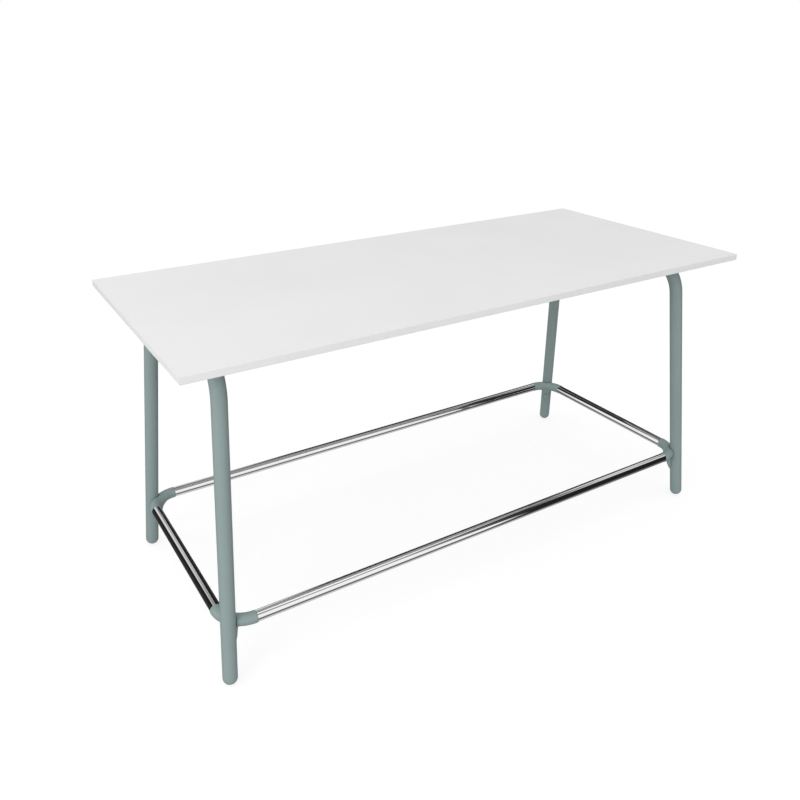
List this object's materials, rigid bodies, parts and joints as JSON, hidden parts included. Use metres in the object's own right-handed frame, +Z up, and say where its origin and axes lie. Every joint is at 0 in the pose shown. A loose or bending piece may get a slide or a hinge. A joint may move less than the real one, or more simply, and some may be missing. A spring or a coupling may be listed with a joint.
{
  "type": "standing meeting table",
  "caption": "Rectangular white table at standing height on splayed bent-tube hoops, with a chrome foot rail joined by painted elbows and levelling dome feet.",
  "frame": {"origin": "on the floor under the middle of the top", "axes": "+X along the length of the top, -Y towards the front long side, +Z up"},
  "size_m": [1.8, 0.8, 0.906],
  "materials": {
    "laminate_top": "matt white laminate on a board",
    "edge_band": "matt white edge band",
    "sage_paint": "satin grey-green powder coat",
    "chrome_rail": "bright chrome plate",
    "zinc_steel": "zinc plated",
    "foot_plastic": "matt grey-green moulded plastic",
    "plug_plastic": "black moulded plastic"
  },
  "bodies": {
    "frame": {"tabletop_panel": "laminate_top", "edge_band_front": "edge_band", "front_foot_rail": "chrome_rail", "edge_band_right": "edge_band", "right_foot_rail": "chrome_rail", "edge_band_back": "edge_band", "back_foot_rail": "chrome_rail", "edge_band_left": "edge_band", "left_foot_rail": "chrome_rail", "right_hoop": "sage_paint", "left_hoop": "sage_paint", "front_stringer": "sage_paint", "stringer_screw_front_1": "zinc_steel", "stringer_screw_front_2": "zinc_steel", "stringer_screw_front_3": "zinc_steel", "stringer_screw_front_4": "zinc_steel", "back_stringer": "sage_paint", "stringer_screw_back_1": "zinc_steel", "stringer_screw_back_2": "zinc_steel", "stringer_screw_back_3": "zinc_steel", "stringer_screw_back_4": "zinc_steel", "saddle_strap_front_left": "zinc_steel", "strap_screw_front_left": "zinc_steel", "elbow_front_left": "sage_paint", "elbow_screw_front_left": "sage_paint", "leg_plug_front_left": "plug_plastic", "saddle_strap_front_right": "zinc_steel", "strap_screw_front_right": "zinc_steel", "elbow_front_right": "sage_paint", "elbow_screw_front_right": "sage_paint", "leg_plug_front_right": "plug_plastic", "saddle_strap_back_right": "zinc_steel", "strap_screw_back_right": "zinc_steel", "elbow_back_right": "sage_paint", "elbow_screw_back_right": "sage_paint", "leg_plug_back_right": "plug_plastic", "saddle_strap_back_left": "zinc_steel", "strap_screw_back_left": "zinc_steel", "elbow_back_left": "sage_paint", "elbow_screw_back_left": "sage_paint", "leg_plug_back_left": "plug_plastic"},
    "foot_front_left": {"dome_foot_front_left": "foot_plastic", "levelling_stud_front_left": "zinc_steel"},
    "foot_front_right": {"dome_foot_front_right": "foot_plastic", "levelling_stud_front_right": "zinc_steel"},
    "foot_back_right": {"dome_foot_back_right": "foot_plastic", "levelling_stud_back_right": "zinc_steel"},
    "foot_back_left": {"dome_foot_back_left": "foot_plastic", "levelling_stud_back_left": "zinc_steel"}
  },
  "joints": [
    {"name": "foot_level_front_left", "type": "slide", "parent": "frame", "child": "foot_front_left", "axis": [-0.104, -0.104, -0.9891], "range_m": [0, 0.01]},
    {"name": "foot_level_front_right", "type": "slide", "parent": "frame", "child": "foot_front_right", "axis": [0.104, -0.104, -0.9891], "range_m": [0, 0.01]},
    {"name": "foot_level_back_right", "type": "slide", "parent": "frame", "child": "foot_back_right", "axis": [0.104, 0.104, -0.9891], "range_m": [0, 0.01]},
    {"name": "foot_level_back_left", "type": "slide", "parent": "frame", "child": "foot_back_left", "axis": [-0.104, 0.104, -0.9891], "range_m": [0, 0.01]}
  ]
}
